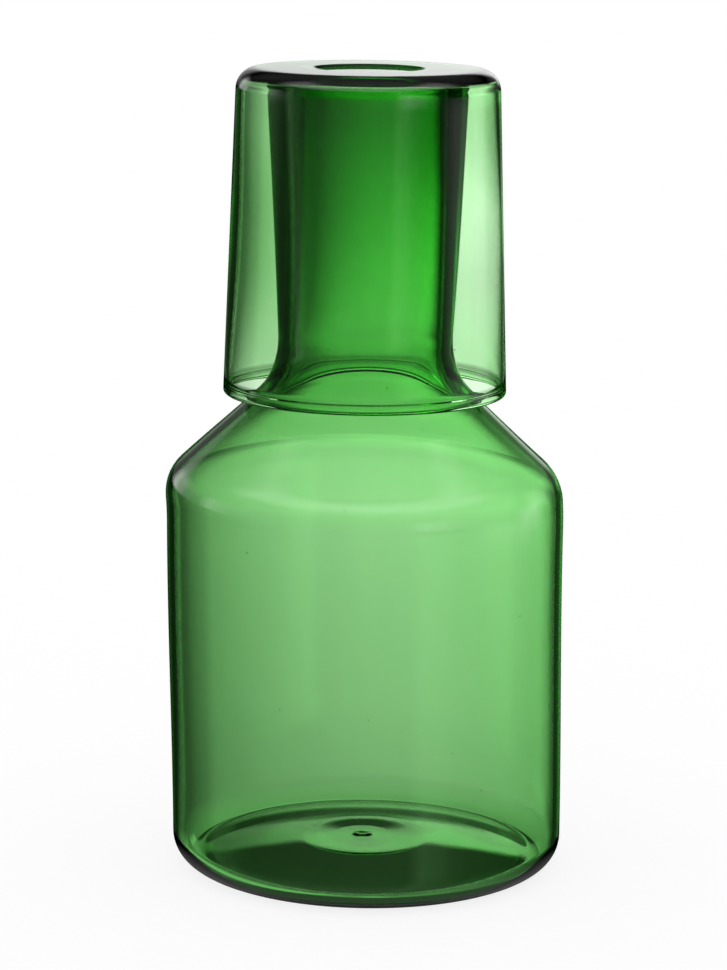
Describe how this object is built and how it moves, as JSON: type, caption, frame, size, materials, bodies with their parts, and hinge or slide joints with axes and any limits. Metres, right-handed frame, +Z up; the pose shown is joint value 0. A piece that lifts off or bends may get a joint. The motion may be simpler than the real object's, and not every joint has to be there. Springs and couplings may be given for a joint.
{
  "type": "carafe with tumbler lid",
  "caption": "Bedside water carafe of green blown glass, with a straight body, sloping shoulder and tapered neck, and a matching tumbler that stands upside down over the neck as its lid.",
  "frame": {"origin": "on the axis, in the plane of the flat ring that the carafe stands on", "axes": "+Z up along the axis of both pieces; the glass is round, so +X and +Y are free"},
  "size_m": [0.0996, 0.0996, 0.2009],
  "materials": {
    "green_glass": "clear polished green glass, tinted through its thickness"
  },
  "bodies": {
    "carafe": {"carafe": "green_glass"},
    "tumbler": {"tumbler": "green_glass"}
  },
  "joints": [
    {"name": "tumbler_lift", "type": "slide", "parent": "carafe", "child": "tumbler", "axis": [0, 0, 1], "range_m": [0, 0.1]}
  ]
}
